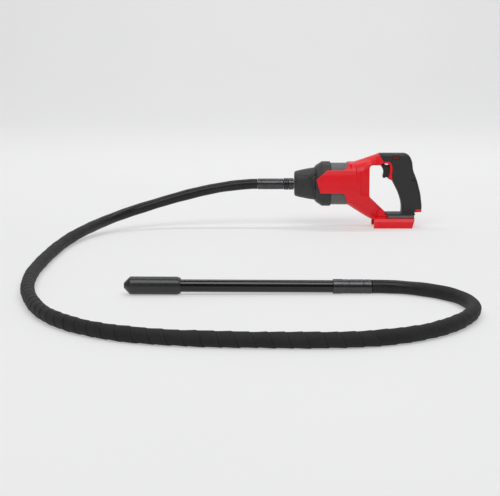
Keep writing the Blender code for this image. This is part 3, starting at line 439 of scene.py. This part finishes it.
def new_piece(name, bm, slot, body="power_unit", replaces=(), angle=SHARP_ANGLE):
    """Mesh object from bmesh data, dressed, riding on a body, and standing for CAD nodes."""
    mesh = bpy.data.meshes.new(name)
    bmesh.ops.recalc_face_normals(bm, faces=bm.faces)
    bm.to_mesh(mesh)
    bm.free()
    obj = bpy.data.objects.new(name, mesh)
    bpy.context.scene.collection.objects.link(obj)
    mesh.shade_smooth()
    mesh.set_sharp_from_angle(angle=math.radians(angle))
    dress(obj, slot)
    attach(obj, body)
    if replaces:
        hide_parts(*replaces)
    return obj


def join_rings(bm, rings):
    """Skins each ring of points to the next one with quads."""
    for lower, upper in zip(rings, rings[1:]):
        for k in range(len(lower)):
            bm.faces.new((lower[k - 1], lower[k], upper[k], upper[k - 1]))


def bevel(obj, width):
    made = obj.modifiers.new("edges", "BEVEL")
    made.width = width
    made.segments = 3
    made.limit_method = "ANGLE"
    made.angle_limit = math.radians(30.0)
    made.harden_normals = True


def body_of_node(node):
    for body, members in frame["record"]["behaviour"]["bodies"].items():
        if node in members:
            return body
    return "power_unit"


def evaluated_mesh(obj):
    """The object's mesh with its modifiers applied; the object itself is thrown away."""
    depsgraph = bpy.context.evaluated_depsgraph_get()
    mesh = bpy.data.meshes.new_from_object(obj.evaluated_get(depsgraph))
    bpy.data.objects.remove(obj, do_unlink=True)
    return mesh


def work_object(mesh):
    obj = bpy.data.objects.new("work", mesh)
    bpy.context.scene.collection.objects.link(obj)
    return obj


def pressed(obj, press):
    """Moves the points of a finished piece by the given press function."""
    points = np.empty(3 * len(obj.data.vertices))
    normals = np.empty(3 * len(obj.data.vertices))
    obj.data.vertices.foreach_get("co", points)
    obj.data.vertex_normals.foreach_get("vector", normals)
    points = points.reshape(-1, 3)
    moved = points + press(points, normals.reshape(-1, 3))
    obj.data.vertices.foreach_set("co", moved.ravel())
    obj.data.update()


def moulding(node, name, voxel=COARSE_VOXEL, relax=4, keep=0.4, press=None):
    """A dense copy of a CAD node with rounded moulded edges, in the node's place.

    relax counts the smoothing passes that round the edges, and keep is the share of triangles
    left at the end. press takes the points and normals as arrays and returns how far each moves.
    """
    work = work_object(frame["nodes"][node].data.copy())
    remesh = work.modifiers.new("remesh", "REMESH")
    remesh.mode = "VOXEL"
    remesh.voxel_size = voxel
    smooth = work.modifiers.new("smooth", "SMOOTH")
    smooth.factor = 0.5
    smooth.iterations = relax
    mesh = evaluated_mesh(work)
    work = work_object(mesh)
    if press:
        pressed(work, press)
    thin = work.modifiers.new("thin", "DECIMATE")
    thin.ratio = keep
    mesh = evaluated_mesh(work)
    bm = bmesh.new()
    bm.from_mesh(mesh)
    bpy.data.meshes.remove(mesh)
    return new_piece(name, bm, SLOT_OF[node], body_of_node(node), (node,), 60.0)


def ramp(distance, width):
    """1 well inside (negative distance), 0 outside, and smooth across the width."""
    t = np.clip(0.5 - distance / width, 0.0, 1.0)
    return t * t * (3.0 - 2.0 * t)


def line_distance(points, corners):
    """Distance in side view from each point to a broken line of (x, z) corners."""
    flat = points[:, (0, 2)]
    best = np.full(len(flat), 1.0)
    for start, end in zip(corners, corners[1:]):
        start, end = np.array(start), np.array(end)
        along = end - start
        t = np.clip(((flat - start) @ along) / (along @ along), 0.0, 1.0)
        best = np.minimum(best, np.linalg.norm(flat - start - t[:, None] * along, axis=1))
    return best


def inside_distance(points, corners):
    """Signed distance in side view to a convex outline of (x, z) corners, negative inside."""
    flat = points[:, (0, 2)]
    centre = np.mean(corners, axis=0)
    worst = np.full(len(flat), -1.0)
    for start, end in zip(corners, [*corners[1:], corners[0]]):
        start, end = np.array(start), np.array(end)
        along = (end - start) / np.linalg.norm(end - start)
        across = np.array([along[1], -along[0]])
        across *= -np.sign((centre - start) @ across)
        worst = np.maximum(worst, (flat - start) @ across)
    return worst


def toward_middle(points, depth):
    """Moves of a given depth towards the tool's middle plane."""
    moves = np.zeros_like(points)
    moves[:, 1] = -np.sign(points[:, 1]) * depth
    return moves


def press_housing(points, normals):
    """Flank recess, the notch ahead of it, and the groove along the battery foot."""
    recess = ramp(inside_distance(points, FLANK_RECESS), 0.0016) * FLANK_RECESS_DEPTH
    notch = ramp(inside_distance(points, NOTCH), 0.0012) * NOTCH_DEPTH
    groove = ramp(line_distance(points, FOOT_GROOVE) - 0.0007, 0.0008) * FOOT_GROOVE_DEPTH
    half_width = np.abs(points[:, 1])
    flank, shoulder, foot_side = half_width > 0.018, half_width > 0.030, half_width > 0.036
    outward = np.abs(normals[:, 1]) > 0.5
    depth = np.where(flank, recess, 0.0) + np.where(shoulder, notch, 0.0)
    depth = depth + np.where(outward & foot_side, groove, 0.0)
    return toward_middle(points, depth)


def press_grip(points, normals):
    """Crowns the grip's flanks, so that its section is oval and not flat-sided."""
    reach = np.clip(line_distance(points, GRIP_CENTRE) / GRIP_HALF_DEPTH, 0.0, 1.0)
    flank = np.clip(np.abs(points[:, 1]) / 0.012 - 0.3, 0.0, 1.0)
    outward = np.clip(np.sign(points[:, 1]) * normals[:, 1] * 1.4, 0.0, 1.0)
    above_foot = ramp(GRIP_FOOT_Z - points[:, 2], 0.012)
    return toward_middle(points, GRIP_CROWN * reach ** 2 * flank * above_foot * outward)


def press_boot(points, normals):
    """Raised chevron with a valley ahead of it, and a short groove, on each flank of the nose boot."""
    outer = np.abs(points[:, 1]) > 0.022
    facing = np.clip((np.abs(normals[:, 1]) - 0.3) / 0.3, 0.0, 1.0) * outer
    ridge = ramp(line_distance(points, BOOT_CHEVRON) - 0.0014, 0.0020) * BOOT_RIDGE
    shifted = points - (BOOT_VALLEY_SHIFT, 0.0, 0.0)
    valley = ramp(line_distance(shifted, BOOT_CHEVRON) - 0.0010, 0.0016) * BOOT_VALLEY_DEPTH
    groove = ramp(line_distance(points, BOOT_GROOVE) - 0.0008, 0.0012) * BOOT_VALLEY_DEPTH
    return normals * (facing * (np.maximum(ridge - valley, -BOOT_VALLEY_DEPTH) - groove))[:, None]


def lathe(name, profile, line, slot, body="power_unit", replaces=(), steps=72, width=0.0003):
    """Closed profile of (radius, station) points spun round a line.

    A third number in a point makes its ring six-lobed, by that much.
    """
    bm = bmesh.new()
    rings = []
    for radius, station, *lobes in profile:
        if radius < 0.00001:
            rings.append([bm.verts.new(line @ Vector((0.0, 0.0, station)))])
            continue
        ring = []
        for k in range(steps):
            angle = 2.0 * math.pi * k / steps
            reach = radius + (lobes[0] * math.cos(6.0 * angle) if lobes else 0.0)
            spot = (reach * math.cos(angle), reach * math.sin(angle), station)
            ring.append(bm.verts.new(line @ Vector(spot)))
        rings.append(ring)
    pairs = list(zip(rings, rings[1:]))
    if len(rings[0]) > 1:
        pairs.append((rings[-1], rings[0]))
    for lower, upper in pairs:
        for k in range(steps):
            if len(lower) == 1:
                corners = (lower[0], upper[k], upper[k - 1])
            elif len(upper) == 1:
                corners = (lower[k - 1], lower[k], upper[0])
            else:
                corners = (lower[k - 1], lower[k], upper[k], upper[k - 1])
            bm.faces.new(corners)
    obj = new_piece(name, bm, slot, body, replaces)
    if width:
        bevel(obj, width)
    return obj


def barrel_section(x, half_height, half_width):
    """Rounded-square section of the barrel."""
    count = 240
    ring = []
    for k in range(count):
        angle = 2.0 * math.pi * (k + 0.5) / count
        c, s = math.cos(angle), math.sin(angle)
        y = math.copysign(abs(c) ** (2.0 / SQUARENESS), c) * half_width
        z = math.copysign(abs(s) ** (2.0 / SQUARENESS), s) * half_height
        ring.append(Vector((x, y, BARREL_Z + z)))
    return ring


def press_sleeve(points, normals):
    """A line along each shoulder of the sleeve, and a small pocket near its rear end."""
    height = np.abs(points[:, 2] - BARREL_Z)
    outward = np.sum((points - (0.0, 0.0, BARREL_Z)) * normals, axis=1) > 0.0
    inner = ramp(np.abs(points[:, 0] + 0.0395) - 0.0165, 0.0012)
    lines = ramp(np.abs(height - SLEEVE_LINE_HEIGHT) - 0.0006, 0.0009) * 0.0007
    pocket_x, pocket_height = SLEEVE_POCKET
    pocket = ramp(np.abs(height - pocket_height) - 0.0016, 0.0010)
    pocket = pocket * ramp(np.abs(points[:, 0] - pocket_x) - 0.0022, 0.0010)
    return normals * (-(lines * inner + 0.0018 * pocket) * outward)[:, None]


def build_sleeve():
    """Grey motor sleeve, as a closed skin in fine steps along the barrel."""
    half_height, half_width = SLEEVE_HALF_SIZE
    front, rear = SLEEVE_ENDS
    skin, chamfer, count = SLEEVE_SKIN, 0.0004, 60
    length = rear - front - 2.0 * chamfer
    stations = [(front, chamfer)]
    stations += [(front + chamfer + length * k / count, 0.0) for k in range(count + 1)]
    stations += [(rear, chamfer)]
    outer = [barrel_section(x, half_height - cut, half_width - cut) for x, cut in stations]
    inner = [barrel_section(x, half_height - skin, half_width - skin) for x in (rear, front)]
    bm = bmesh.new()
    rings = [[bm.verts.new(p) for p in section] for section in outer + inner]
    join_rings(bm, [*rings, rings[0]])
    sleeve = new_piece("motor_skin", bm, "grey_plastic", replaces=("motor_sleeve",), angle=50.0)
    pressed(sleeve, press_sleeve)


def build_screw(node):
    """Screw with a six-lobed socket, in place of its plain CAD node.

    The grip's own screw also has a rubber lining to its hole.
    """
    low, high = (Vector(corner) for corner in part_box(node))
    side = 1.0 if abs(high.y) > abs(low.y) else -1.0
    depth = max(abs(low.y), abs(high.y)) - SCREW_HEAD_H
    centre = (0.5 * (low.x + high.x), 0.0, 0.5 * (low.z + high.z))
    line = Matrix.Translation(centre) @ Matrix.Rotation(math.radians(-90.0) * side, 4, "X")
    lathe(node.replace("screw_", "fastener_"), [
        (0.0, depth + 0.0009), (0.0012, depth + 0.0009, SOCKET_LOBE), (0.0013, depth + 0.0025, SOCKET_LOBE),
        (0.0021, depth + SCREW_HEAD_H), (SCREW_HEAD_R - 0.0005, depth + 0.0025),
        (SCREW_HEAD_R, depth + 0.0020), (SCREW_HEAD_R, depth), (SCREW_SHANK_R, depth),
        (SCREW_SHANK_R, -0.0080), (0.0, -0.0090),
    ], line, "dark_steel", replaces=(node,), steps=48, width=0.0)
    if node == "screw_grip":
        lathe("grip_eyelet", [
            (0.0038, depth - 0.0003), (0.0047, depth - 0.0003), (0.0047, 0.0143), (0.0038, 0.0143),
        ], line, "grip_rubber", steps=48, width=0.0)


def build_couplings():
    """Ferrules, coupler and release collar, turned finer than in the frame."""
    tool = lathe("tool_sleeve", [
        (0.0052, 0.1728), (0.0124, 0.1728), (0.0130, 0.1736), (0.0131, 0.1800), (0.0127, 0.1806),
        (0.0127, 0.1818), (0.0131, 0.1824), (0.0131, 0.2240), (0.0127, 0.2246), (0.0127, 0.2258),
        (0.0131, 0.2264), (0.0131, 0.2336), (0.0127, 0.2346), (0.0052, 0.2346),
    ], DRIVE_LINE, "dark_steel", replaces=("tool_ferrule",))
    coupler = lathe("hose_union", [
        (0.0044, 0.1722), (0.0044, 0.1422), (0.0070, 0.1422), (0.0070, 0.1613), (0.0134, 0.1613),
        (0.0141, 0.1620), (0.0141, 0.1660), (0.0136, 0.1665), (0.0136, 0.1675), (0.0141, 0.1680),
        (0.0141, 0.1715), (0.0134, 0.1722),
    ], DRIVE_LINE, "blued_steel", replaces=("hose_coupler",))
    lathe("collar_grip", [
        (0.0114, 0.1537), (0.0141, 0.1537), (0.0141, 0.1600), (0.0134, 0.1607), (0.0114, 0.1607),
    ], DRIVE_LINE, "dark_steel", "release_collar", ("release_collar",))
    lathe("collar_skirt", [
        (0.0114, 0.1486), (0.0134, 0.1486), (0.0138, 0.1492), (0.0138, 0.1536), (0.0114, 0.1536),
    ], DRIVE_LINE, "dark_steel", "release_collar", ("release_collar",))
    head = lathe("head_sleeve", [
        (0.0052, 0.0699), (0.0127, 0.0699), (0.0132, 0.0690), (0.0132, 0.0545), (0.0127, 0.0525),
        (0.0127, 0.0420), (0.0123, 0.0415), (0.0123, 0.0400), (0.0127, 0.0395), (0.0127, 0.0160),
        (0.0123, 0.0155), (0.0123, 0.0140), (0.0127, 0.0135), (0.0127, 0.0014), (0.0121, 0.0004),
        (0.0052, 0.0004),
    ], HEAD_LINE, "dark_steel", replaces=("head_ferrule",))
    return [tool, coupler, head]


def build_spring():
    """Return spring behind the release collar, at one fixed length; on the real tool it shortens as the
    collar is pulled back.
    """
    turns, per_turn, sides = 4, 48, 10
    first, last, coil, wire = 0.1394, 0.1476, 0.0129, 0.0005
    bm = bmesh.new()
    rings = []
    for k in range(turns * per_turn + 1):
        angle = 2.0 * math.pi * k / per_turn
        station = first + (last - first) * k / (turns * per_turn)
        ring = []
        for side in range(sides):
            around = 2.0 * math.pi * side / sides
            reach = coil + wire * math.cos(around)
            spot = (reach * math.cos(angle), reach * math.sin(angle), station + wire * math.sin(around))
            ring.append(bm.verts.new(DRIVE_LINE @ Vector(spot)))
        rings.append(ring)
    join_rings(bm, rings)
    bm.faces.new(rings[0])
    bm.faces.new(rings[-1])
    spring = new_piece("return_spring", bm, "steel", replaces=("collar_spring",))
    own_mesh(spring)


def build_head():
    """Long tube of the vibrating head, and its thicker pointed tip."""
    lathe("head_barrel", [
        (0.0091, 0.0704), (0.0113, 0.0704), (0.0113, 0.4297), (0.0091, 0.4297),
    ], HEAD_LINE, "polished_tube", replaces=("head_tube",))
    lathe("head_nose", [
        (0.0, 0.4429), (0.0046, 0.4429), (0.0052, 0.4426), (0.0155, 0.4324), (0.0160, 0.4310),
        (0.0161, 0.4290), (0.0161, 0.3485), (0.0159, 0.3473), (0.0138, 0.3420), (0.0134, 0.3417),
        (0.0116, 0.3417), (0.0116, 0.4302), (0.0, 0.4302),
    ], HEAD_LINE, "tip_black", replaces=("head_tip",), width=0.0002)


# ---------------------------------------------------------------- hose

def smooth_route(points, step):
    """Even points along the smooth curve through the route's own points, and how far along each is."""
    knots = [Vector(p) for p in points]
    knots = [2.0 * knots[0] - knots[1], *knots, 2.0 * knots[-1] - knots[-2]]
    dense = []
    for p0, p1, p2, p3 in zip(knots, knots[1:], knots[2:], knots[3:]):
        for k in range(24):
            t = k / 24.0
            dense.append(0.5 * (2.0 * p1 + (p2 - p0) * t + (2.0 * p0 - 5.0 * p1 + 4.0 * p2 - p3) * t ** 2
                                + (3.0 * p1 - p0 - 3.0 * p2 + p3) * t ** 3))
    dense.append(knots[-2])
    legs = [(after - before).length for before, after in zip(dense, dense[1:])]
    walked = np.concatenate([[0.0], np.cumsum(legs)])
    count = round(walked[-1] / step)
    wanted = np.linspace(0.0, walked[-1], count + 1)
    columns = [np.interp(wanted, walked, [p[axis] for p in dense]) for axis in range(3)]
    return [Vector(p) for p in zip(*columns)], wanted


def smooth_step(value):
    t = min(1.0, max(0.0, value))
    return t * t * (3.0 - 2.0 * t)


def zone_along(stations, ends):
    """How much of a zone's skin there is at each station, from 0 to 1."""
    (bare_first, fade_first), (bare_last, fade_last) = ends
    return [
        smooth_step((s - bare_first) / fade_first) * smooth_step((stations[-1] - bare_last - s) / fade_last)
        for s in stations
    ]


def build_hose():
    """The wrapped hose: a tube whose skin steps at each lap of the winding and swells a little."""
    path, stations = smooth_route([HOSE_EXIT, *HOSE_ROUTE, HEAD_START], RING_SPACING)
    bm = bmesh.new()
    layer = bm.loops.layers.uv.new("wrap")
    zone_layer = bm.loops.layers.uv.new("zone")
    side = Vector((0.0, 1.0, 0.0))
    rings = []
    length = stations[-1]
    taped, dull = (zone_along(stations, ends) for ends in (TAPE_ENDS, DULL_ENDS))
    for i, point in enumerate(path):
        tangent = (path[min(i + 1, len(path) - 1)] - path[max(i - 1, 0)]).normalized()
        side = (side - tangent * side.dot(tangent)).normalized()
        up = tangent.cross(side)
        near_end = min(1.0, stations[i] / 0.03, (length - stations[i]) / 0.03)
        swell = sum(size * math.sin(stations[i] * rate + start) for size, rate, start in SWELLS)
        ring = []
        for k in range(HOSE_SIDES):
            angle = 2.0 * math.pi * k / HOSE_SIDES
            phase = (stations[i] / WRAP_PITCH - k / HOSE_SIDES) % 1.0
            lift = WRAP_STEP * (phase ** 1.5 - 0.45) * near_end * taped[i]
            radius = 0.5 * HOSE_D - 0.0002 + lift + swell * near_end
            ring.append(bm.verts.new(point + (side * math.cos(angle) + up * math.sin(angle)) * radius))
        rings.append(ring)
    bm.verts.ensure_lookup_table()
    for i in range(len(rings) - 1):
        for k in range(HOSE_SIDES):
            after = (k + 1) % HOSE_SIDES
            face = bm.faces.new((rings[i][k], rings[i][after], rings[i + 1][after], rings[i + 1][k]))
            around = math.pi * HOSE_D / HOSE_SIDES
            spots = ((i, k), (i, k + 1), (i + 1, k + 1), (i + 1, k))
            for loop, (ring_index, side_index) in zip(face.loops, spots):
                loop[layer].uv = (stations[ring_index], around * side_index)
                loop[zone_layer].uv = (taped[ring_index], dull[ring_index])
    bm.faces.new(rings[0])
    bm.faces.new(rings[-1])
    hose = new_piece("hose", bm, "hose_wrap", replaces=("flex_casing",), angle=60.0)
    return hose, path, length


# ---------------------------------------------------------------- build

bpy.context.scene.view_settings.view_transform = "Standard"
build_camera()
hose, hose_path, hose_length = build_hose()
couplings = build_couplings()
build_stage()
build_light()

for side_name in ("left", "right"):
    moulding("housing_" + side_name, "shell_" + side_name, relax=8, keep=0.22, press=press_housing)
    moulding("grip_" + side_name, "handle_" + side_name, relax=8, keep=0.35, press=press_grip)
    moulding("base_trim_" + side_name, "trim_" + side_name, FINE_VOXEL)
moulding("nose_boot", "boot", press=press_boot)
moulding("bumper_ring", "bumper")
moulding("trigger", "trigger_blade", FINE_VOXEL, relax=8)
moulding("lock_button", "lock_slider", FINE_VOXEL, relax=6)
build_sleeve()
build_spring()
build_head()
for node in frame["nodes"]:
    if node.startswith("screw_"):
        build_screw(node)

for node, obj in frame["nodes"].items():
    dress(obj, SLOT_OF[node])
    obj.data.shade_smooth()
    obj.data.set_sharp_from_angle(angle=math.radians(SHARP_ANGLE))
